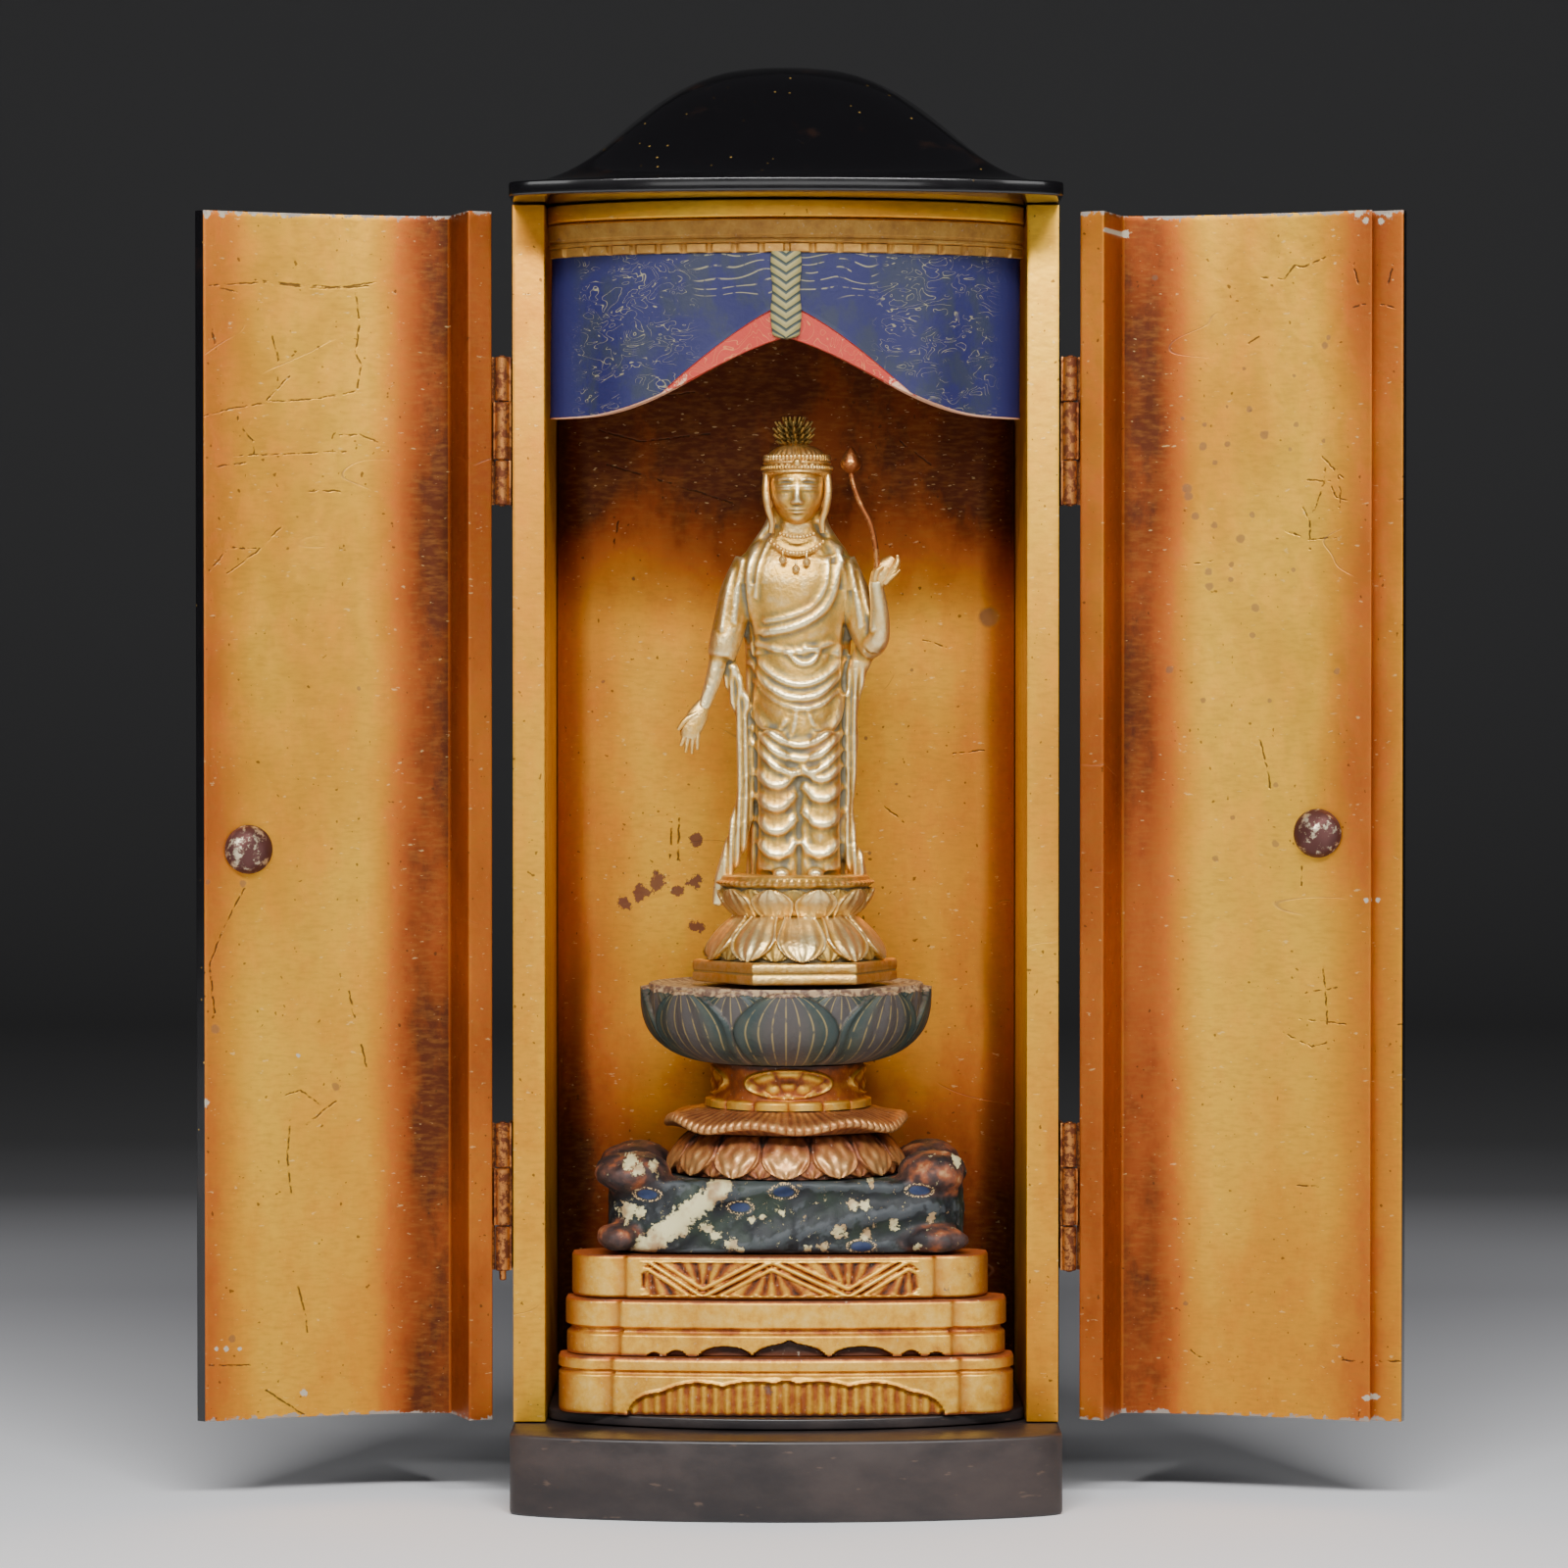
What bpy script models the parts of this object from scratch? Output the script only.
"""Portable shrine: lacquered case with two curved doors, carved stands and a bronze figure.

Metres, +Z up. The origin is the middle of the plinth's underside and the front faces -Y.
"""
import math

import bmesh
import bpy
import numpy as np
from mathutils import Matrix

# Case, outside
CASE_WIDTH = 0.136
CORNER_DEPTH = 0.0925
FRONT_BOW = 0.0134
BOW_SHAPE = 0.65
PLINTH_HEIGHT = 0.020
POST_SETBACK = 0.0165
SIDE_WALL = 0.0082
BACK_WALL = 0.006
COVE_RADIUS = 0.010
NICHE_HEIGHT = 0.2957
FLOOR_THICKNESS = 0.0027
CEILING_THICKNESS = 0.0043
BOARD_SETBACK = 0.0065
BOARD_BOW = 0.020
LIP_HEIGHT = 0.0035
DOME_RISE = 0.0325
DOME_FULLNESS = 1.4
DOME_ROUNDING = 0.7

# Doors and their metalwork
DOOR_THICKNESS = 0.0063
DOOR_CORNER_INSET = 0.0025
DOOR_CLEARANCE = 0.0011
STILE_CLEARANCE = 0.0004
LIP_WIDTH = 0.0073
LIP_THICKNESS = 0.0031
EDGE_BEVEL = 0.0016
MEETING_GAP = 0.0005
DOOR_OPEN_DEG = 157.5
STUD_RADIUS = 0.006
STUD_DOME = 0.004
STUD_SHANK_RADIUS = 0.0014
STUD_BACK_RADIUS = 0.003
STUD_BACK_HEIGHT = 0.0012
STUD_LEFT_RISE = 0.1419
STUD_RIGHT_RISE = 0.1459
STUD_LEFT_EDGE = 0.011
STUD_RIGHT_EDGE = 0.0136
HINGE_OFFSET = 0.0025
HINGE_HEIGHT = 0.0367
KNUCKLE_ENDS = 0.0111
BARREL_RADIUS = 0.0018
PIN_RADIUS = 0.00085
PIN_CLEARANCE = 0.0003
PIN_STANDOUT = 0.0004
PIN_LOOSE_DROP = 0.0025
LEAF_THICKNESS = 0.0008
LEAF_WIDTH = 0.0098
LEAF_NOTCH = 0.0016
LEAF_EASE = 0.00006
UPPER_HINGE_DROP = 0.0359
LOWER_HINGE_RISE = 0.0371

# Valance
VALANCE_MARGIN = 0.0013
VALANCE_BOW = 0.020
VALANCE_FRONT_SETBACK = 0.002
VALANCE_THICKNESS = 0.003
VALANCE_DROP_END = 0.0482
VALANCE_DROP_CENTRE = 0.0290
VALANCE_BAND = 0.0060
VALANCE_BAND_RELIEF = 0.0007
VALANCE_FOLD = 0.0007
VALANCE_FOLDS = 9

# Stands: gap to the niche's sides, height, and how far each front stands before the posts
STAND_BACK_MARGIN = 0.009
LOWER_TIER_MARGIN = 0.0030
LOWER_TIER_HEIGHT = 0.0141
LOWER_TIER_REACH = 0.01095
MIDDLE_TIER_STEP = 0.0018
MIDDLE_TIER_HEIGHT = 0.0137
MIDDLE_TIER_REACH = 0.00895
UPPER_TIER_STEP = 0.0030
UPPER_TIER_HEIGHT = 0.0105
UPPER_TIER_REACH = 0.00695
UPPER_TIER_SHIFT = -0.0015
TIER_BOW = 0.005
TIER_LOBE = 0.010
TIER_NOTCH = 0.0012
FLUTE_PITCH = 0.0029
FLUTE_DEPTH = 0.0005
ROCK_STEP = 0.0057
ROCK_DEPTH = 0.062
ROCK_HEIGHT = 0.0180
ROCK_BUMP = 0.0070
STAND_SETBACK = 0.02705
REVERSED_LOTUS_RADIUS = 0.03025
REVERSED_LOTUS_HEIGHT = 0.0102
REVERSED_LOTUS_PETALS = 14
LEAF_DISC_RADIUS = 0.0310
LEAF_DISC_HEIGHT = 0.0057
LEAF_DISC_NOTCHES = 18
DRUM_RADIUS = 0.0197
DRUM_HEIGHT = 0.0109
DRUM_FRINGE = 0.0012
SEAT_RADIUS = 0.0370
SEAT_FOOT_RADIUS = 0.0200
SEAT_HEIGHT = 0.0201
SEAT_PETALS = 8
SEAT_RELIEF = 0.0016
TOUCH_GAP = 0.0003

# Bronze figure, with its lotus base; the figure's own measures are shares of its height
FIGURE_SHIFT = 0.0023
FIGURE_HEIGHT = 0.1165
FIGURE_PLATE_RADIUS = 0.0262
FIGURE_PLATE_HEIGHT = 0.0055
FIGURE_BASE_HEIGHT = 0.0270
FIGURE_PLATFORM_RADIUS = 0.0188
FIGURE_WAIST_RADIUS = 0.0136
FIGURE_PETAL_RADIUS = 0.0237
FIGURE_RIM_RADIUS = 0.0206
FIGURE_BASE_PETALS = 10
FIGURE_VOXEL = 0.0011
FIGURE_KEEP = 0.065
STEM_RADIUS = 0.0006
BUD_RADIUS = 0.0030
BUD_HEIGHT = 0.0068

# Heights that follow from the sizes above
FLOOR_Z = PLINTH_HEIGHT + TOUCH_GAP
NICHE_BOTTOM = FLOOR_Z + FLOOR_THICKNESS
NICHE_TOP = NICHE_BOTTOM + NICHE_HEIGHT
CEILING_TOP = NICHE_TOP + CEILING_THICKNESS
ROOF_Z = CEILING_TOP + TOUCH_GAP
BACK_Y = (CORNER_DEPTH + FRONT_BOW) / 2
CORNER_Y = BACK_Y - CORNER_DEPTH
POST_Y = CORNER_Y + POST_SETBACK
NICHE_BACK_Y = BACK_Y - BACK_WALL
HALF_WIDTH = CASE_WIDTH / 2
HALF_NICHE = HALF_WIDTH - SIDE_WALL
AXIS_X = HALF_WIDTH + HINGE_OFFSET
AXIS_Y = POST_Y - STILE_CLEARANCE / 2
DOOR_BOTTOM = PLINTH_HEIGHT + DOOR_CLEARANCE
DOOR_TOP = ROOF_Z - 2 * DOOR_CLEARANCE
STAND_CENTRE_Y = POST_Y + STAND_SETBACK
VALANCE_WIDTH = 2 * (HALF_NICHE - VALANCE_MARGIN)
LOWER_TIER_WIDTH = 2 * (HALF_NICHE - LOWER_TIER_MARGIN)
MIDDLE_TIER_WIDTH = LOWER_TIER_WIDTH - 2 * MIDDLE_TIER_STEP
UPPER_TIER_WIDTH = MIDDLE_TIER_WIDTH - 2 * UPPER_TIER_STEP
ROCK_WIDTH = UPPER_TIER_WIDTH - 2 * ROCK_STEP


def material(name, colour, roughness, metallic):
    """Principled material from an sRGB colour written as six hex digits."""
    made = bpy.data.materials.new(name)
    made.use_nodes = True
    shader = made.node_tree.nodes["Principled BSDF"]
    channels = [int(colour[k:k + 2], 16) / 255 for k in (0, 2, 4)]
    linear = [c / 12.92 if c <= 0.04045 else ((c + 0.055) / 1.055) ** 2.4 for c in channels]
    shader.inputs["Base Color"].default_value = (*linear, 1)
    shader.inputs["Roughness"].default_value = roughness
    shader.inputs["Metallic"].default_value = metallic
    return made


def add_object(name, mesh, finish, smooth=True):
    """Link a mesh as a named object with its material."""
    made = bpy.data.objects.new(name, mesh)
    bpy.context.collection.objects.link(made)
    if finish is not None:
        mesh.materials.append(finish)
    if smooth:
        mesh.shade_smooth()
        mesh.set_sharp_from_angle(angle=math.radians(35))
    return made


def ring_faces(count, rings, start=0):
    """Quads between stacked rings of points, and the two end caps."""
    index = start + np.arange(count * rings).reshape(rings, count)
    nxt = np.roll(index, -1, axis=1)
    quads = np.stack([index[:-1], nxt[:-1], nxt[1:], index[1:]], axis=-1).reshape(-1, 4)
    caps = [index[0][::-1].tolist(), index[-1].tolist()]
    return quads.tolist() + caps


def ring_mesh(name, rings):
    """Closed mesh from rings of points, listed from the bottom up and anticlockwise in plan."""
    rings = np.asarray(rings, dtype=float)
    mesh = bpy.data.meshes.new(name)
    mesh.from_pydata(rings.reshape(-1, 3).tolist(), [], ring_faces(rings.shape[1], rings.shape[0]))
    return mesh


def at_height(outline, z):
    """Plan outline lifted to a height."""
    return np.column_stack([outline, np.full(len(outline), z)])


def prism(name, outline, low, high):
    """Upright prism on a plan outline."""
    return ring_mesh(name, [at_height(outline, low), at_height(outline, high)])


def bow(share, depth):
    """Forward bulge of a bowed front at a share of the half width from the middle."""
    return depth * np.clip(1 - np.asarray(share, dtype=float) ** 2, 0, 1) ** BOW_SHAPE


def spread(count):
    """Shares from 0 to 1 that crowd towards 1, where a bowed front turns its corner."""
    return np.sin(np.linspace(0, math.pi / 2, count))


def bowed_outline(half_width, corner_y, depth, back_y, points, back_corner=0.0):
    """Anticlockwise plan: bowed front, straight sides and back with small cut corners."""
    shares = spread(points)
    shares = np.concatenate([-shares[:0:-1], shares])
    front = np.column_stack([shares * half_width, corner_y - bow(shares, depth)])
    cut = [(half_width, back_y - back_corner), (half_width - back_corner, back_y),
           (back_corner - half_width, back_y), (-half_width, back_y - back_corner)]
    if back_corner == 0:
        cut = [cut[0], cut[3]]
    return np.vstack([front, cut])


def make_plinth(lacquer):
    outline = bowed_outline(HALF_WIDTH, CORNER_Y, FRONT_BOW, BACK_Y, 16, 0.002)
    add_object("plinth", prism("plinth", outline, 0, PLINTH_HEIGHT), lacquer)


def make_boards(lacquer, gilt):
    """Floor and ceiling boards between the side walls, with the same bowed front."""
    half = HALF_NICHE - TOUCH_GAP
    front = bowed_outline(half, POST_Y + BOARD_SETBACK, BOARD_BOW, NICHE_BACK_Y, 13)[:-2]
    turn = np.linspace(0, math.pi / 2, 5)
    round_corner = COVE_RADIUS - TOUCH_GAP
    corner_x = half - COVE_RADIUS + round_corner * np.cos(turn)
    corner_y = NICHE_BACK_Y - COVE_RADIUS + round_corner * np.sin(turn)
    right = np.column_stack([corner_x, corner_y])
    outline = np.vstack([front, right, right[::-1] * (-1, 1)])
    add_object("floor_board", prism("floor_board", outline, FLOOR_Z, NICHE_BOTTOM), lacquer)
    add_object("ceiling_board", prism("ceiling_board", outline, NICHE_TOP, CEILING_TOP), gilt)


def make_walls(gilt):
    """Side walls and the back board, whose two inner corners are coved."""
    for side, name in ((-1, "side_left"), (1, "side_right")):
        inner = HALF_NICHE * side
        outer = HALF_WIDTH * side
        low, high = sorted((inner, outer))
        outline = [(low, POST_Y), (high, POST_Y), (high, BACK_Y), (low, BACK_Y)]
        add_object(name, prism(name, np.array(outline), FLOOR_Z, CEILING_TOP), gilt, smooth=False)
    half = HALF_NICHE - TOUCH_GAP
    turn = np.linspace(0, math.pi / 2, 7)
    cove_x = half - COVE_RADIUS + COVE_RADIUS * np.sin(turn)
    cove_y = NICHE_BACK_Y - COVE_RADIUS + COVE_RADIUS * np.cos(turn)
    right = np.column_stack([cove_x, cove_y])
    left = right[::-1] * (-1, 1)
    corners = [(half, BACK_Y), (-half, BACK_Y)]
    outline = np.vstack([left, right, corners])
    add_object("back_board", prism("back_board", outline, FLOOR_Z, CEILING_TOP), gilt)


def make_roof(lacquer):
    """Lip band, then a dome whose height falls as a raised cosine from the middle to the lip.

    Its plan passes from the lip's outline to an ellipse on the way up."""
    outline = bowed_outline(HALF_WIDTH, CORNER_Y, FRONT_BOW, BACK_Y, 13, 0.003)
    centre = np.array([0, (BACK_Y + CORNER_Y - FRONT_BOW) / 2])
    lip_top = ROOF_Z + LIP_HEIGHT
    spokes = outline - centre
    ellipse = spokes / np.linalg.norm(spokes / (HALF_WIDTH, BACK_Y - centre[1]), axis=1)[:, None]
    rings = [at_height(outline, ROOF_Z), at_height(outline, lip_top)]
    for share in (0.97, 0.85, 0.72, 0.60, 0.48, 0.35, 0.22, 0.08):
        rise = DOME_RISE * 0.5 * (1 + math.cos(math.pi * share ** DOME_FULLNESS))
        blend = (1 - share) ** DOME_ROUNDING
        plan = centre + (spokes * (1 - blend) + ellipse * blend) * share
        rings.append(at_height(plan, lip_top + rise))
    add_object("roof", ring_mesh("roof", rings), lacquer)


def inner_bow_y(x):
    """Inner face of a closed door's bowed front at a distance from the middle."""
    half = HALF_WIDTH - DOOR_THICKNESS
    depth = FRONT_BOW - DOOR_THICKNESS + DOOR_CORNER_INSET
    return CORNER_Y + DOOR_CORNER_INSET - bow(np.abs(x) / half, depth)


def outer_bow_y(x):
    """Outer face of a closed door's bowed front at a distance from the middle."""
    return CORNER_Y - bow(np.abs(x) / HALF_WIDTH, FRONT_BOW)


def door_outline(side):
    """Closed door in plan: stile, rounded corner, bowed front and meeting edge.

    The right door's outer half laps over the left door's rebate. Both meeting faces slant
    by the same bevel. The plan is drawn for the right hand and mirrored for the left.
    """
    if side > 0:
        start = -LIP_WIDTH
        step = LIP_THICKNESS
        edge_in = MEETING_GAP - EDGE_BEVEL / 2
        edge_mid = MEETING_GAP + EDGE_BEVEL / 2
    else:
        start = LIP_WIDTH + MEETING_GAP
        step = LIP_THICKNESS + MEETING_GAP
        edge_in = EDGE_BEVEL / 2
        edge_mid = -EDGE_BEVEL / 2
    stile_y = POST_Y - STILE_CLEARANCE
    outer_x = start + (HALF_WIDTH - start) * spread(17)
    outer = np.column_stack([outer_x, outer_bow_y(outer_x)])
    half = HALF_WIDTH - DOOR_THICKNESS
    inner_x = edge_in + (half - edge_in) * spread(13)[::-1]
    inner = np.column_stack([inner_x, inner_bow_y(inner_x)])
    stile = [(HALF_WIDTH, stile_y), (half, stile_y)]
    meeting = [(edge_mid, outer_bow_y(edge_mid) + step), (start, outer_bow_y(start) + step)]
    outline = np.vstack([outer, stile, inner, meeting])
    if side < 0:
        outline = outline[::-1] * (-1, 1)
    return outline


def turned(name, profile, steps, finish, axis="Z"):
    """Closed turned solid from (radius, height) points, listed from the bottom up."""
    angle = np.arange(steps) * 2 * math.pi / steps
    rings = [np.column_stack([r * np.cos(angle), r * np.sin(angle), np.full(steps, z)])
             for r, z in profile]
    made = add_object(name, ring_mesh(name, rings), finish)
    if axis == "Y":
        made.data.transform(Matrix.Rotation(-math.pi / 2, 4, "X"))
    return made


def cutter(made):
    """Mark an object as a cutting shape only."""
    made.hide_render = True
    made.display_type = "WIRE"
    return made


def cut(target, tool):
    """Boolean difference."""
    modifier = target.modifiers.new("cut", "BOOLEAN")
    modifier.operation = "DIFFERENCE"
    modifier.object = tool


def empty(name, location, turn):
    """Empty on a hinge axis, turned to the door's open pose."""
    made = bpy.data.objects.new(name, None)
    made.location = location
    made.rotation_euler = (0, 0, turn)
    bpy.context.collection.objects.link(made)
    return made


def make_stud(name, pivot, place, tilt, brass):
    """Domed boss on the door's inner face, its shank and a small round head outside."""
    clear = 2 * TOUCH_GAP
    dome = [(STUD_RADIUS * math.cos(a), clear + STUD_DOME * math.sin(a))
            for a in np.linspace(0, math.pi / 2, 5)[:-1]]
    back = -DOOR_THICKNESS - clear
    profile = [(STUD_BACK_RADIUS * 0.8, back - STUD_BACK_HEIGHT), (STUD_BACK_RADIUS, back),
               (STUD_SHANK_RADIUS, back), (STUD_SHANK_RADIUS, clear)]
    stud = turned(name, profile + dome + [(STUD_RADIUS * 0.12, clear + STUD_DOME)], 16, brass, "Y")
    hole_radius = STUD_SHANK_RADIUS + TOUCH_GAP
    tool = turned(name + "_hole", [(hole_radius, -3 * DOOR_THICKNESS), (hole_radius, DOOR_THICKNESS)],
                  16, None, "Y")
    for made in (stud, cutter(tool)):
        made.parent = pivot
        made.location = place
        made.rotation_euler = (0, 0, tilt)
    return tool


def make_door(side, gilt, brass, copper):
    """One door on its hinge axis, with its stud and its two hinge leaves."""
    hand = "right" if side > 0 else "left"
    pivot = empty("pivot_" + hand, (side * AXIS_X, AXIS_Y, 0), side * math.radians(DOOR_OPEN_DEG))
    axis = np.array([side * AXIS_X, AXIS_Y])
    outline = door_outline(side) - axis
    door = add_object("door_" + hand, prism("door_" + hand, outline, DOOR_BOTTOM, DOOR_TOP), gilt)
    door.parent = pivot
    if side > 0:
        stud_x = MEETING_GAP - EDGE_BEVEL / 2 + STUD_RIGHT_EDGE
        stud_z = DOOR_BOTTOM + STUD_RIGHT_RISE
    else:
        stud_x = EDGE_BEVEL / 2 + STUD_LEFT_EDGE
        stud_z = DOOR_BOTTOM + STUD_LEFT_RISE
    reach = 0.001
    slope = (inner_bow_y(stud_x + reach) - inner_bow_y(stud_x - reach)) / (2 * reach)
    place = (side * stud_x - axis[0], inner_bow_y(stud_x) - axis[1], stud_z)
    cut(door, make_stud("stud_" + hand, pivot, place, side * math.atan(slope), brass))
    upper_low = DOOR_TOP - UPPER_HINGE_DROP - HINGE_HEIGHT
    for level, low in (("upper", upper_low), ("lower", DOOR_BOTTOM + LOWER_HINGE_RISE)):
        make_hinge(side, hand, level, low, pivot, copper)


def knuckle_outline(steps, radius):
    """Circle about the hinge axis."""
    angle = np.arange(steps) * 2 * math.pi / steps
    return np.column_stack([radius * np.cos(angle), radius * np.sin(angle)])


def leaf_plate(name, side, toward, low, high, tabs):
    """Flat hinge leaf beside the axis, with tabs that reach its own knuckles.

    toward is +1 for the leaf on the case, which runs back, and -1 for the door's leaf.
    tabs lists the height ranges of the tabs, from the bottom up.
    """
    outline = [(LEAF_WIDTH, low + LEAF_EASE), (LEAF_WIDTH, high - LEAF_EASE)]
    edge = []
    for start, end in tabs:
        edge += [(LEAF_NOTCH, start), (0, start), (0, end), (LEAF_NOTCH, end)]
    if tabs[0][0] > low + LEAF_EASE:
        edge = [(LEAF_NOTCH, low + LEAF_EASE)] + edge + [(LEAF_NOTCH, high - LEAF_EASE)]
    else:
        edge = edge[1:-1]
    outline = np.array(outline + edge[::-1])
    if toward < 0:
        outline = outline[::-1] * (-1, 1)
    near = -(HINGE_OFFSET - TOUCH_GAP) * side
    far = near + LEAF_THICKNESS * side
    rings = [np.column_stack([np.full(len(outline), x), outline]) for x in sorted((near, far))]
    return ring_mesh(name, rings)


def join_meshes(name, meshes, finish):
    """One solid from several meshes that overlap, joined one after another."""
    base = add_object(name, meshes[0], finish, False)
    for number, mesh in enumerate(meshes[1:]):
        join = base.modifiers.new("join", "BOOLEAN")
        join.operation = "UNION"
        join.object = cutter(add_object(f"{name}_join_{number}", mesh, finish, False))
        join.object.parent = base
    return base


def make_hinge(side, hand, level, low, pivot, copper):
    """Case leaf with the two outer knuckles, door leaf with the middle one, and the pin."""
    high = low + HINGE_HEIGHT
    lower_end = low + KNUCKLE_ENDS - TOUCH_GAP / 2
    upper_start = high - KNUCKLE_ENDS + TOUCH_GAP / 2
    middle = (lower_end + TOUCH_GAP, upper_start - TOUCH_GAP)
    barrel = knuckle_outline(14, BARREL_RADIUS)
    axis = (side * AXIS_X, AXIS_Y, 0)
    bore_plan = knuckle_outline(10, PIN_RADIUS + PIN_CLEARANCE)
    ends = ((low, lower_end), (upper_start, high))
    for kind, toward, knuckles in (("case", 1, ends), ("door", -1, (middle,))):
        name = f"hinge_{kind}_leaf_{hand}_{level}"
        tabs = [(start + LEAF_EASE, end - LEAF_EASE) for start, end in knuckles]
        meshes = [leaf_plate(name, side, toward, low, high, tabs)]
        meshes += [prism(name, barrel, start, end) for start, end in knuckles]
        leaf = join_meshes(name, meshes, copper)
        bore = add_object(name + "_bore", prism("bore", bore_plan, low - 0.01, high + 0.01), None)
        bore.parent = leaf
        cut(leaf, cutter(bore))
        if kind == "door":
            leaf.parent = pivot
        else:
            leaf.location = axis
    drop = PIN_LOOSE_DROP if (hand, level) == ("left", "lower") else PIN_STANDOUT
    tip = PIN_RADIUS * 0.3
    profile = [(PIN_RADIUS - tip, low - drop), (PIN_RADIUS, low - drop + tip),
               (PIN_RADIUS, high + PIN_STANDOUT - tip), (PIN_RADIUS - tip, high + PIN_STANDOUT)]
    pin = turned(f"hinge_pin_{hand}_{level}", profile, 10, copper)
    pin.location = axis


def valance_edge(share):
    """Drop of the lower edge: level at the ends, rising in an ogee to a point in the middle."""
    t = np.clip((0.93 - np.abs(share)) / 0.93, 0, 1)
    rise = 0.5 - 0.5 * np.cos(math.pi * t ** 1.15)
    lift = 0.86 * rise + 0.14 * t ** 6
    return VALANCE_DROP_END - (VALANCE_DROP_END - VALANCE_DROP_CENTRE) * lift


def make_valance(blue):
    """Carved curtain: a gilt band on top and soft upright folds, with a solid flat back."""
    columns = 4 * VALANCE_FOLDS + 1
    share = np.sin(np.linspace(-math.pi / 2, math.pi / 2, columns))
    top = NICHE_TOP - TOUCH_GAP
    front_y = POST_Y + BOARD_SETBACK - BOARD_BOW + VALANCE_FRONT_SETBACK
    plan_y = front_y + VALANCE_BOW - bow(share, VALANCE_BOW)
    x = share * VALANCE_WIDTH / 2
    slope_x = np.gradient(x)
    slope_y = np.gradient(plan_y)
    length = np.hypot(slope_x, slope_y)
    normal = np.column_stack([slope_y / length, -slope_x / length])
    drop = valance_edge(share)
    rows = []
    for level in (0.0, 1.0):
        rows.append((np.full(columns, level * VALANCE_BAND), VALANCE_BAND_RELIEF))
    for level in (0.02, 0.35, 0.7, 1.0):
        rows.append((VALANCE_BAND + 0.0006 + (drop - VALANCE_BAND - 0.0006) * level, 0.0))
    front = []
    for number, (depth, relief) in enumerate(rows):
        fold = VALANCE_FOLD * np.cos(2 * math.pi * VALANCE_FOLDS * 0.5 * share)
        proud = relief if number < 2 else fold * min(1, (number - 1) / 3)
        place = np.column_stack([x, plan_y]) + normal * (np.zeros(columns) + proud)[:, None]
        front.append(np.column_stack([place, top - depth]))
    back = []
    for depth, _ in (rows[0], rows[-1]):
        place = np.column_stack([x, plan_y]) - normal * VALANCE_THICKNESS
        back.append(np.column_stack([place, top - depth]))
    grid = np.array(front + back[::-1])
    count = len(grid)
    index = np.arange(count * columns).reshape(count, columns)
    below = np.roll(index, -1, axis=0)
    quads = np.stack([index[:, :-1], below[:, :-1], below[:, 1:], index[:, 1:]], axis=-1)
    faces = quads.reshape(-1, 4).tolist()
    faces.append(index[:, 0][::-1].tolist())
    faces.append(index[:, -1].tolist())
    mesh = bpy.data.meshes.new("valance")
    mesh.from_pydata(grid.reshape(-1, 3).tolist(), [], faces)
    add_object("valance", mesh, blue)


def tier_outline(width, front, back, step_x, points):
    """Plan of a stepped stand: bowed middle, a notch, lobed front corners, straight back."""
    half = width / 2
    middle = np.linspace(0, step_x, points)
    middle_y = front + TIER_BOW * (middle / half) ** 2
    lobe_front = middle_y[-1] + TIER_NOTCH
    turn = np.linspace(0, math.pi / 2, 5)
    lobe_x = half - TIER_LOBE + TIER_LOBE * np.sin(turn)
    lobe_y = lobe_front + TIER_LOBE - TIER_LOBE * np.cos(turn)
    right = np.vstack([np.column_stack([middle, middle_y]),
                       [(step_x + TIER_NOTCH / 2, lobe_front)],
                       np.column_stack([lobe_x, lobe_y]),
                       [(half, back)]])
    left = right[:0:-1] * (-1, 1)
    return np.vstack([right, left])


def pulled_in(outline, amount, centre_y, half, half_depth):
    """Outline drawn in towards its middle by an amount at the edge."""
    scale = np.array([1 - amount / half, 1 - amount / half_depth])
    return (outline - (0, centre_y)) * scale + (0, centre_y)


def make_tier(name, width, height, reach, low, shift, profile, flutes, finish):
    """Stand with moulded edges. profile lists (share of height, inset, fluted or not)."""
    front = POST_Y - reach
    back = NICHE_BACK_Y - STAND_BACK_MARGIN
    step_x = width / 2 - TIER_LOBE - 0.004
    pieces = int(2 * step_x / FLUTE_PITCH) if flutes else 8
    outline = tier_outline(width, front, back, step_x, pieces + 1)
    centre_y = (front + back) / 2
    rings = []
    for share, inset, fluted in profile:
        plan = pulled_in(outline, inset, centre_y, width / 2, (back - front) / 2)
        if flutes and fluted:
            count = np.arange(pieces + 1)
            groove = FLUTE_DEPTH * (count % 2) * (np.arange(pieces + 1) < 0.8 * pieces)
            plan[:pieces + 1, 1] += groove
            plan[-pieces:, 1] += groove[:0:-1]
        rings.append(at_height(plan + (shift, 0), low + share * height))
    add_object(name, ring_mesh(name, rings), finish)
    return low + height


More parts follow.
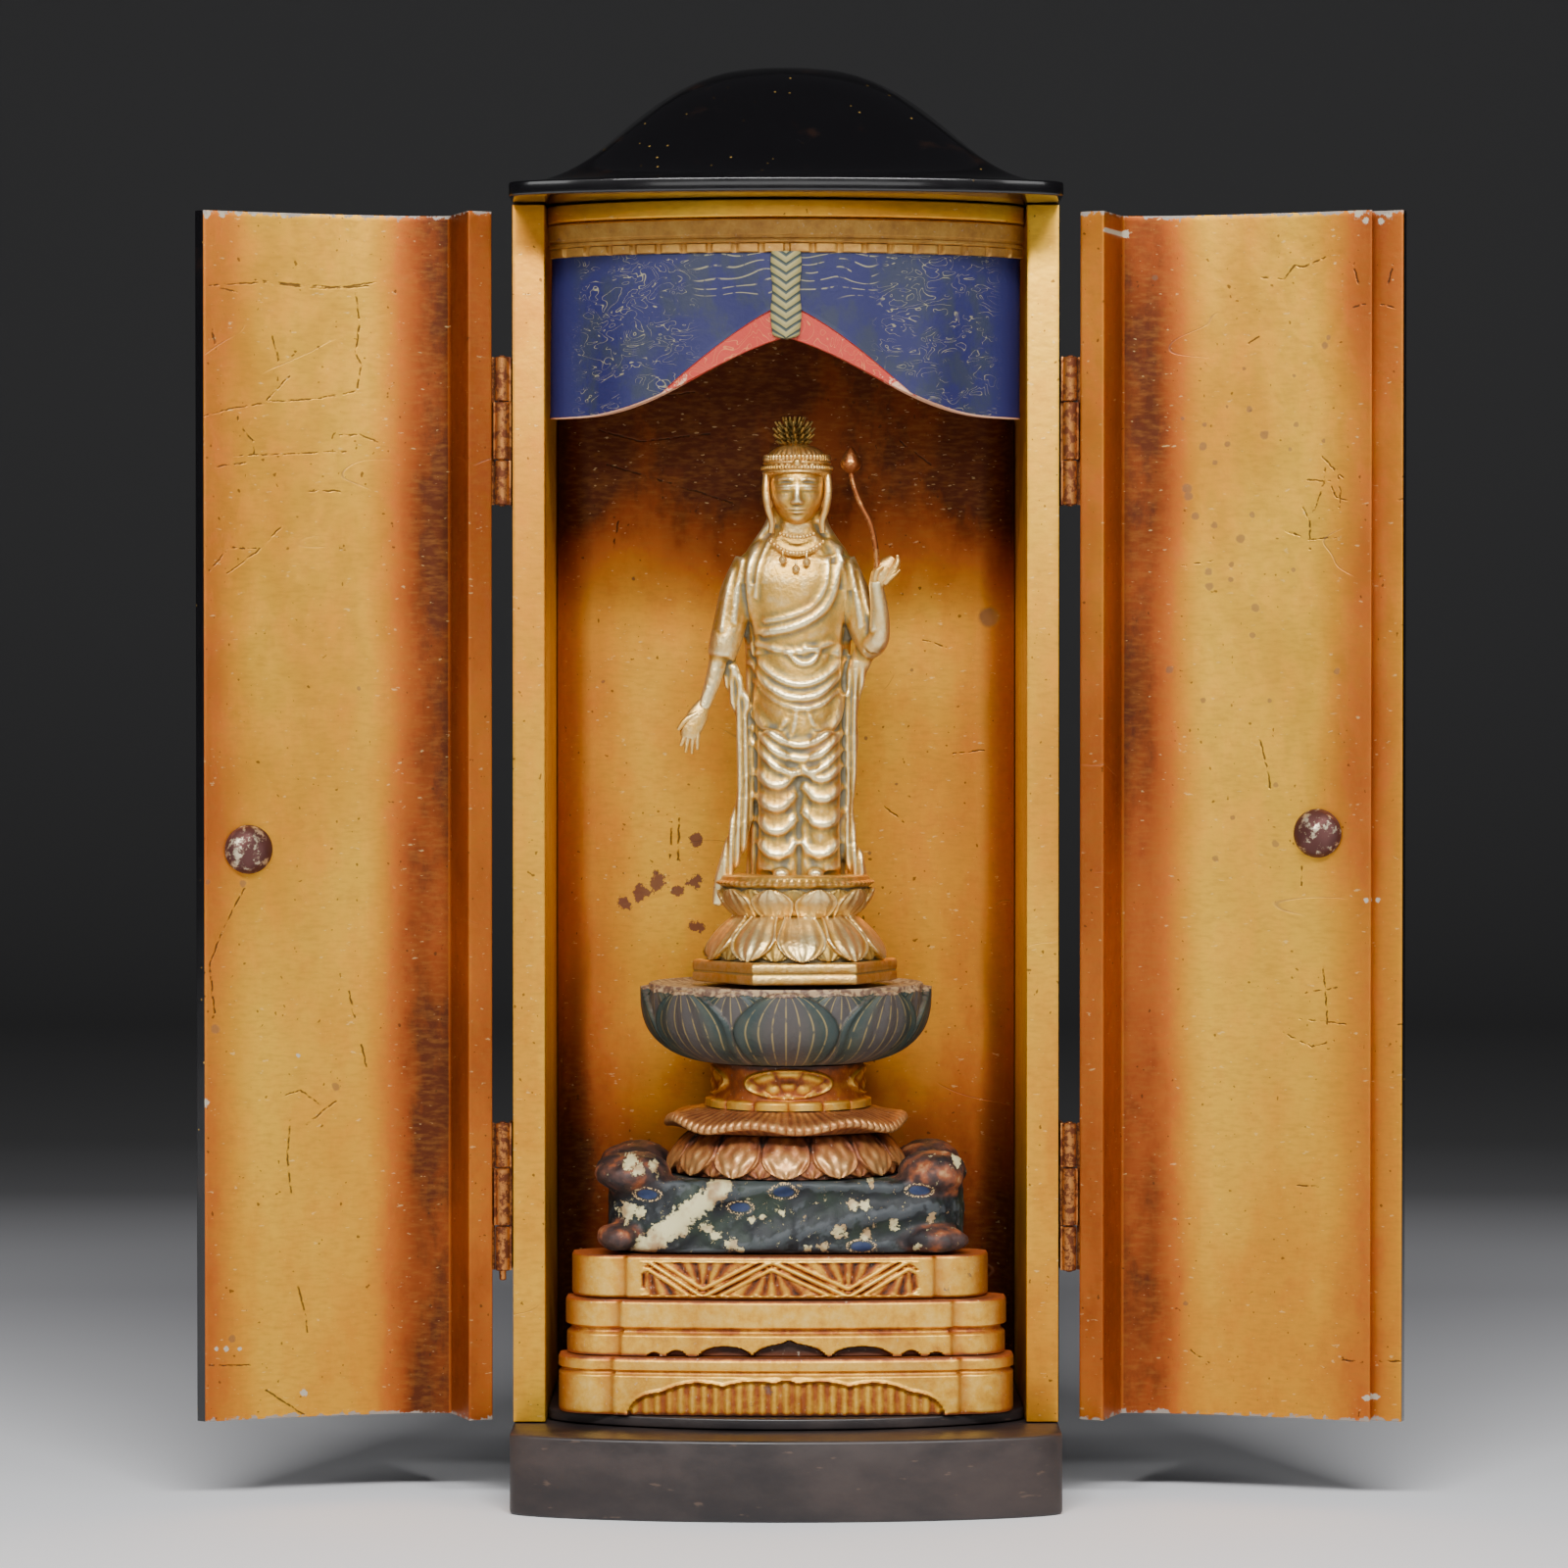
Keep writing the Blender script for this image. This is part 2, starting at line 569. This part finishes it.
def make_rockwork(low, finish):
    """Block carved as rocks: rounded plan, slanting ridges and two bumps at each end."""
    columns = 44
    angle = np.arange(columns) * 2 * math.pi / columns - math.pi / 2
    power = 0.45
    plan_x = np.sign(np.cos(angle)) * np.abs(np.cos(angle)) ** power * ROCK_WIDTH / 2
    plan_y = np.sign(np.sin(angle)) * np.abs(np.sin(angle)) ** power * ROCK_DEPTH / 2
    rings = []
    flat_share = (REVERSED_LOTUS_RADIUS + 4 * TOUCH_GAP) / (ROCK_WIDTH / 2)
    levels = ((0.0, 1.0), (0.22, 1.02), (0.5, 0.985), (0.8, 1.0), (1.0, 0.95), (1.0, 0.84), (1.0, flat_share),
              (1.0, 0.4))
    for number, (share, scale) in enumerate(levels):
        ridge = 0.012 * np.sin(5 * angle + 3.1 * share) + 0.010 * np.sin(11 * angle - 4 * share)
        spread_out = scale * (1 + ridge * (0 < number < 6))
        x = plan_x * spread_out
        y = plan_y * spread_out
        end = np.clip((np.abs(x) / (ROCK_WIDTH / 2) - flat_share) / 0.12, 0, 1)
        bump = ROCK_BUMP * end * (0.75 + 0.25 * np.sin(5 * angle)) * (number in (4, 5))
        z = low + share * ROCK_HEIGHT + bump
        rings.append(np.column_stack([x, y + STAND_CENTRE_Y, z]))
    add_object("rockwork", ring_mesh("rockwork", rings), finish)
    return low + ROCK_HEIGHT


def petal_height(phase, level):
    """Bulge of a petal, 1 on its middle line and 0 at its pointed outline.

    phase runs from -1 to 1 across the petal, and level from 0 at its root to 1 at its tip.
    """
    half = np.clip(1 - np.clip((level - 0.45) / 0.58, 0, 1) ** 2, 0.02, 1) ** 0.5
    return np.clip(1 - (phase / half) ** 2, 0, 1) ** 0.5


def petal_ring(count, petals, radius, z, relief, level, rim=0.0, turn=0.0):
    """Ring of points round a lotus, pushed out by its petals and lifted at their tips."""
    angle = np.arange(count) * 2 * math.pi / count
    phase = 2 * (((angle - turn) * petals / (2 * math.pi) + 0.5) % 1) - 1
    bulge = petal_height(phase, level)
    r = radius + relief * bulge
    return np.column_stack([r * np.cos(angle), r * np.sin(angle), z + rim * (bulge - 1)])


def make_reversed_lotus(low, finish):
    """Ring of petals that spread downwards."""
    count = 4 * REVERSED_LOTUS_PETALS
    relief = 0.0012
    rings = []
    for level, share in ((1.0, 0.0), (0.95, 0.12), (0.6, 0.5), (0.2, 0.85), (0.0, 1.0)):
        swell = math.cos(share * math.pi / 2) ** 0.8
        radius = LEAF_DISC_RADIUS * 0.72 + (REVERSED_LOTUS_RADIUS - relief - LEAF_DISC_RADIUS * 0.72) * swell
        rings.append(petal_ring(count, REVERSED_LOTUS_PETALS, radius, low + share * REVERSED_LOTUS_HEIGHT,
                                relief, min(level, 0.8), turn=-math.pi / 2))
    made = add_object("reversed_lotus", ring_mesh("reversed_lotus", rings), finish)
    made.location = (0, STAND_CENTRE_Y, 0)
    return low + REVERSED_LOTUS_HEIGHT


def make_leaf_disc(low, finish):
    """Thin disc with a wavy rim, cut into lobes by small notches."""
    count = 3 * LEAF_DISC_NOTCHES
    angle = np.arange(count) * 2 * math.pi / count
    lobe = np.abs(np.cos(angle * LEAF_DISC_NOTCHES / 2)) ** 0.5
    wave = np.sin(4 * angle + 0.6)
    rings = []
    for share, radius, wavy in ((0.0, 0.80, 0), (0.12, 0.985, 1), (0.5, 1.0, 1), (0.8, 0.95, 1), (1.0, 0.74, 0)):
        r = LEAF_DISC_RADIUS * (radius + wavy * 0.03 * (lobe - 1))
        z = low + LEAF_DISC_HEIGHT * (share + wavy * 0.10 * wave * (share > 0.2))
        rings.append(np.column_stack([r * np.cos(angle), r * np.sin(angle), z]))
    made = add_object("leaf_disc", ring_mesh("leaf_disc", rings), finish)
    made.location = (0, STAND_CENTRE_Y, 0)
    return low + LEAF_DISC_HEIGHT


def make_drum(low, finish):
    """Round neck with a flared foot of small leaves."""
    count = 32
    rings = []
    for share, out in ((0.0, 1.0), (0.12, 1.0), (0.24, 0.0), (0.6, -0.35), (0.88, 0.0), (1.0, 0.3)):
        angle = np.arange(count) * 2 * math.pi / count
        leaf = 1 + 0.35 * np.cos(16 * angle) * (0 < share < 0.2)
        r = DRUM_RADIUS + DRUM_FRINGE * out * leaf
        rings.append(np.column_stack([r * np.cos(angle), r * np.sin(angle),
                                      np.full(count, low + share * DRUM_HEIGHT)]))
    made = add_object("drum", ring_mesh("drum", rings), finish)
    made.location = (0, STAND_CENTRE_Y, 0)
    return low + DRUM_HEIGHT


def make_lotus_seat(low, finish):
    """Upward lotus: petals swell out from a narrow foot to the rim, round a flat top."""
    count = 8 * SEAT_PETALS
    rings = [petal_ring(count, SEAT_PETALS, SEAT_FOOT_RADIUS, low, 0, 0.0)]
    for share in (0.06, 0.25, 0.5, 0.75, 0.93):
        swell = math.sin(share * math.pi / 2) ** 0.75
        radius = SEAT_FOOT_RADIUS + (SEAT_RADIUS - SEAT_RELIEF - SEAT_FOOT_RADIUS) * swell
        rings.append(petal_ring(count, SEAT_PETALS, radius, low + share * SEAT_HEIGHT,
                                SEAT_RELIEF, share, turn=-math.pi / 2))
    rim = SEAT_RADIUS - 1.4 * SEAT_RELIEF
    rings.append(petal_ring(count, SEAT_PETALS, rim, low + SEAT_HEIGHT, 0, 0.0))
    made = add_object("lotus_seat", ring_mesh("lotus_seat", rings), finish)
    made.location = (0, STAND_CENTRE_Y, 0)
    return low + SEAT_HEIGHT


def smooth_path(points, steps):
    """Catmull-Rom curve through rows of numbers, the same number of steps in each span."""
    rows = np.asarray(points, dtype=float)
    padded = np.vstack([2 * rows[0] - rows[1], rows, 2 * rows[-1] - rows[-2]])
    t = np.linspace(0, 1, steps, endpoint=False)[:, None]
    spans = []
    for a, b, c, d in zip(padded, padded[1:], padded[2:], padded[3:]):
        spans.append(0.5 * (2 * b + (c - a) * t + (2 * a - 5 * b + 4 * c - d) * t ** 2
                            + (3 * b - a - 3 * c + d) * t ** 3))
    return np.vstack(spans + [rows[-1:]])


def limb(points, steps=4, sides=10, flat=1.0):
    """Closed tube along a path of (x, y, z, radius) rows; flat squashes it front to back."""
    path = smooth_path(points, steps)
    centre = path[:, :3]
    along = np.gradient(centre, axis=0)
    along /= np.linalg.norm(along, axis=1)[:, None]
    side = np.cross(along, (0, 1, 0))
    side /= np.linalg.norm(side, axis=1)[:, None]
    fore = np.cross(side, along)
    angle = np.arange(sides) * 2 * math.pi / sides
    radius = path[:, 3][:, None, None]
    ring = side[:, None] * np.cos(angle)[None, :, None] + flat * fore[:, None] * np.sin(angle)[None, :, None]
    return centre[:, None] + radius * ring


def body_rings(rows, sides=24):
    """Upright rings of (z, centre x, centre y, half width, half depth) rows."""
    rows = smooth_path(rows, 3)
    angle = np.arange(sides) * 2 * math.pi / sides
    x = rows[:, 1:2] + rows[:, 3:4] * np.cos(angle)
    y = rows[:, 2:3] + rows[:, 4:5] * np.sin(angle)
    z = np.repeat(rows[:, 0:1], sides, axis=1)
    return np.stack([x, y, z], axis=-1)


# Body forms in thousandths of a metre above the feet, for a figure DRAWN_HEIGHT tall to the crown.
DRAWN_HEIGHT = 116.5
SKIRT = ((-2, 0, 0, 9.5, 7.5), (2, 0, 0, 10.2, 8), (14, 0.2, -0.3, 9.6, 7.6), (24, 0.3, -0.5, 10.2, 7.8),
         (36, 0.4, -0.3, 11.4, 7.8), (46, 0.6, 0, 10.8, 7.2), (54, 0.4, 0, 9.4, 6.2), (62, 0.3, 0, 9.8, 6.2),
         (70, 0.2, 0, 11.4, 6.6), (76, 0.1, 0.2, 12.2, 6.2), (81, 0, 0.4, 10.5, 5.0), (84, 0, 0.4, 5.0, 3.4))
NECK = ((80, 0, 0.2, 4.2, 3.6), (86, 0.1, 0, 3.2, 3.2), (91, 0.3, -0.4, 3.6, 3.6))
HEAD = ((86.5, 0.4, -1.0, 2.4, 2.4), (88.5, 0.5, -1.2, 4.6, 5.0), (92, 0.5, -0.8, 6.3, 6.6), (97, 0.5, -0.4, 7.2, 7.6),
        (102, 0.5, 0, 7.4, 7.8), (106, 0.5, 0.3, 6.2, 6.8), (109, 0.4, 0.5, 4.0, 4.2), (110, 0.4, 0.5, 1.6, 1.8))
HAIR = ((82, 0, 4.2, 9.8, 2.4), (86, 0.2, 3.8, 9.2, 3.4), (92, 0.4, 2.6, 8.2, 5.0), (100, 0.5, 1.4, 8.2, 6.4),
        (105, 0.5, 1.0, 7.6, 6.2), (109, 0.5, 0.8, 4.5, 4.0))
TOPKNOT = ((107, 0, 0.5, 3.8, 3.4), (111, -0.2, 0.6, 5.0, 3.6), (113.5, -0.4, 0.6, 4.0, 3.0), (116.5, -0.6, 0.6, 1.0, 1.0))
NEAR_ARM = ((-12.6, 0.4, 78, 4.0), (-16.0, 0.2, 72, 4.0), (-18.4, -0.4, 62, 3.7), (-20.0, -1.4, 56, 3.2),
            (-21.6, -2.6, 48, 2.6), (-23.6, -3.4, 43, 2.0))
NEAR_HAND = ((-23.4, -3.5, 44.5, 2.0), (-25.2, -3.8, 40.5, 3.2), (-26.2, -4.0, 37, 3.1), (-27.0, -4.2, 31.6, 1.8))
FAR_ARM = ((12.4, 0.6, 78, 4.0), (16.0, 0.8, 71, 4.0), (18.8, 0.4, 63, 3.8), (20.6, -1.6, 57.6, 3.6),
           (21.6, -4.0, 60, 3.4), (22.4, -5.8, 66.5, 2.9), (22.6, -6.6, 72, 2.3), (22.0, -7.0, 76.5, 3.0),
           (21.6, -7.0, 80.0, 1.8))
NEAR_SCARF = ((-19.6, 0.5, 56, 2.2), (-17.0, 0.6, 46, 2.1), (-14.0, 0.4, 36, 2.0), (-12.2, 0, 26, 2.0),
              (-13.0, -0.2, 17, 2.2), (-15.6, -0.6, 8, 2.1), (-18.0, -1.2, 2, 1.9), (-19.6, -1.6, -4, 1.7))
FAR_SCARF = ((19.4, 0.8, 57, 2.4), (15.4, 0.8, 48, 2.3), (13.4, 0.6, 38, 2.2), (13.4, 0.2, 28, 2.2),
             (12.0, 0, 18, 2.1), (12.4, -0.4, 10, 2.2), (15.6, -1.0, 3.5, 2.2), (17.4, -1.4, -3, 1.6))
SASH = ((11.5, -3.8, 79, 1.2), (7.0, -7.0, 73, 1.3), (2.0, -8.0, 66, 1.3), (-5.0, -7.4, 60, 1.3), (-10.6, -2.8, 57, 1.2))
SCARF_LOOP = ((-17.4, -1.0, 52, 1.3), (-11.0, -6.4, 44, 1.3), (-3.0, -9.6, 38, 1.4), (4.0, -9.8, 36.4, 1.4),
              (10.0, -7.6, 41, 1.3), (15.6, -1.4, 50, 1.3))
WAIST_LOOP = ((-9.6, -3.4, 57, 1.2), (-4.6, -7.0, 50.5, 1.3), (1.0, -8.2, 48.5, 1.4), (6.8, -6.6, 51, 1.3),
              (11.0, -2.4, 57, 1.2))
PENDANT_CHAIN = ((-7.0, -4.6, 80, 0.8), (-3.6, -6.6, 76, 0.9), (0.2, -7.2, 74, 1.1), (4.0, -6.6, 76, 0.9),
                 (7.4, -4.4, 80, 0.8))
HAIRBAND = ((-7.9, 0.6, 99.5, 0.8), (-6.2, -5.0, 101.4, 0.9), (0.5, -8.2, 102.6, 1.1), (7.0, -5.0, 101.4, 0.9),
            (8.9, 0.6, 99.5, 0.8))


def base_rings(low):
    """Six-sided plate, downward petals, waist, upward petals and the platform of the figure."""
    count = 60
    angle = np.arange(count) * 2 * math.pi / count
    turn = math.radians(6)
    sector = math.pi / 3
    hexagon = math.cos(sector / 2) / np.cos((angle - turn) % sector - sector / 2)
    plate = FIGURE_PLATE_RADIUS * hexagon
    flat = np.column_stack([plate * np.cos(angle), plate * np.sin(angle)])
    plate_top = low + FIGURE_PLATE_HEIGHT
    height = FIGURE_BASE_HEIGHT - FIGURE_PLATE_HEIGHT
    rings = [at_height(flat, low), at_height(flat, plate_top)]
    rows = ((0.01, FIGURE_PETAL_RADIUS - 0.0014, 0.0012, 0.6), (0.24, FIGURE_PETAL_RADIUS - 0.0022, 0.0014, 0.45),
            (0.44, FIGURE_WAIST_RADIUS + 0.003, 0.0008, 0.0), (0.50, FIGURE_WAIST_RADIUS, 0, 0.0),
            (0.58, FIGURE_WAIST_RADIUS + 0.003, 0.0008, 0.0), (0.78, FIGURE_RIM_RADIUS - 0.0014, 0.0014, 0.45),
            (0.92, FIGURE_RIM_RADIUS - 0.0004, 0.0004, 0.4), (1.0, FIGURE_PLATFORM_RADIUS, 0, 0.0))
    for share, radius, relief, level in rows:
        rings.append(petal_ring(count, FIGURE_BASE_PETALS, radius, plate_top + share * height, relief, level,
                                turn=-math.pi / 2))
    return np.array(rings)


def make_figure(low, bronze):
    """Standing figure cast with its lotus base: its body forms are fused into one skin."""
    scale = FIGURE_HEIGHT / DRAWN_HEIGHT
    feet = low + FIGURE_BASE_HEIGHT
    forms = [body_rings(rows) for rows in (SKIRT, NECK, HEAD, HAIR, TOPKNOT)]
    forms += [limb(rows) for rows in (NEAR_ARM, NEAR_HAND, FAR_ARM)]
    forms += [limb(rows, flat=0.6) for rows in (NEAR_SCARF, FAR_SCARF)]
    forms += [limb(rows) for rows in (SASH, SCARF_LOOP, WAIST_LOOP, PENDANT_CHAIN, HAIRBAND)]
    for knee_x in (-4.6, 5.4):
        knee = ((knee_x, -3.6, 2, 4.6), (knee_x, -4.6, 12, 4.4), (knee_x, -5.0, 22, 4.8), (knee_x, -4.0, 34, 4.6))
        foot = ((knee_x, -6.0, 0.4, 2.4), (knee_x, -10.6, 0.2, 2.2))
        forms += [limb(knee), limb(foot, steps=2)]
    points = []
    faces = []
    for form in forms:
        faces += ring_faces(form.shape[1], form.shape[0], sum(len(p) for p in points))
        points.append(form.reshape(-1, 3) * scale + (0, 0, feet))
    base = base_rings(low)
    faces += ring_faces(base.shape[1], base.shape[0], sum(len(p) for p in points))
    points.append(base.reshape(-1, 3))
    mesh = bpy.data.meshes.new("figure")
    mesh.from_pydata(np.vstack(points).tolist(), [], faces)
    repair = bmesh.new()
    repair.from_mesh(mesh)
    bmesh.ops.recalc_face_normals(repair, faces=repair.faces)
    repair.to_mesh(mesh)
    repair.free()
    figure = add_object("figure", mesh, bronze)
    figure.location = (FIGURE_SHIFT, STAND_CENTRE_Y, 0)
    skin = figure.modifiers.new("one skin", "REMESH")
    skin.mode = "VOXEL"
    skin.voxel_size = FIGURE_VOXEL
    skin.use_smooth_shade = True
    thin = figure.modifiers.new("fewer faces", "DECIMATE")
    thin.ratio = FIGURE_KEEP
    return feet, scale


def make_stem(feet, scale, copper):
    """Copper rod that rises from the raised hand and ends in a lotus bud."""
    foot_z = 83.2
    rod = ((21.0, -7.4, foot_z), (19.6, -7.4, 88), (17.0, -7.0, 93), (15.0, -6.6, 98), (14.0, -6.2, 101.5))
    path = smooth_path(np.array(rod) * scale, 3)
    count = 8
    angle = np.arange(count) * 2 * math.pi / count
    disc = np.column_stack([np.cos(angle), np.sin(angle), np.zeros(count)])
    rings = [centre + disc * STEM_RADIUS for centre in path]
    tip = path[-1]
    for share, swell in ((0.05, 0.55), (0.3, 1.0), (0.55, 0.95), (0.8, 0.55), (1.0, 0.12)):
        rings.append(tip + disc * BUD_RADIUS * swell + (0, 0, share * BUD_HEIGHT))
    stem = add_object("lotus_stem", ring_mesh("lotus_stem", rings), copper)
    stem.location = (FIGURE_SHIFT, STAND_CENTRE_Y, feet)


def make_stands():
    """Pedestal stack from the floor board up; each stand sits on the one below."""
    gilt = material("worn_gilt_wood", "B98A4A", 0.4, 0.85)
    painted = material("painted_rockwork", "2A3238", 0.7, 0.0)
    green = material("dark_green_lacquer", "2C3A3A", 0.5, 0.0)
    low = NICHE_BOTTOM + TOUCH_GAP
    lower = ((0.0, 0.0, False), (0.08, 0.0006, True), (0.62, 0.0006, True), (0.72, 0.0, False),
             (0.78, 0.0004, False), (0.96, 0.0004, False), (1.0, 0.0010, False))
    middle = ((0.0, 0.0006, False), (0.38, 0.0006, False), (0.42, 0.0016, False), (0.50, 0.0016, False),
              (0.54, 0.0, False), (0.96, 0.0, False), (1.0, 0.0008, False))
    upper = ((0.0, 0.0, False), (0.10, 0.0, False), (0.2, 0.0008, False), (0.8, 0.0008, False),
             (0.9, 0.0, False), (1.0, 0.0004, False))
    top = make_tier("tier_lower", LOWER_TIER_WIDTH, LOWER_TIER_HEIGHT, LOWER_TIER_REACH, low, 0, lower, True, gilt)
    low = top + TOUCH_GAP
    top = make_tier("tier_middle", MIDDLE_TIER_WIDTH, MIDDLE_TIER_HEIGHT, MIDDLE_TIER_REACH, low, 0, middle,
                    False, gilt)
    low = top + TOUCH_GAP
    top = make_tier("tier_upper", UPPER_TIER_WIDTH, UPPER_TIER_HEIGHT, UPPER_TIER_REACH, low, UPPER_TIER_SHIFT,
                    upper, False, gilt)
    top = make_rockwork(top + TOUCH_GAP, painted)
    top = make_reversed_lotus(top + TOUCH_GAP, gilt)
    top = make_leaf_disc(top + TOUCH_GAP, gilt)
    top = make_drum(top + TOUCH_GAP, gilt)
    return make_lotus_seat(top + TOUCH_GAP, green)


def main():
    for old in list(bpy.data.objects):
        bpy.data.objects.remove(old)
    lacquer = material("black_lacquer", "0C0B0D", 0.15, 0.0)
    gilt = material("gilt_interior", "D9B45A", 0.35, 0.9)
    blue = material("painted_curtain", "1B2A8C", 0.6, 0.0)
    bronze = material("gilt_bronze", "C9A55A", 0.35, 0.95)
    copper = material("copper", "7A4630", 0.45, 0.9)
    brass = material("silvery_brass", "7A5A50", 0.35, 0.9)
    make_plinth(lacquer)
    make_boards(lacquer, gilt)
    make_walls(gilt)
    make_roof(lacquer)
    make_valance(blue)
    for side in (-1, 1):
        make_door(side, gilt, brass, copper)
    top = make_stands()
    feet, scale = make_figure(top + TOUCH_GAP, bronze)
    make_stem(feet, scale, copper)


main()
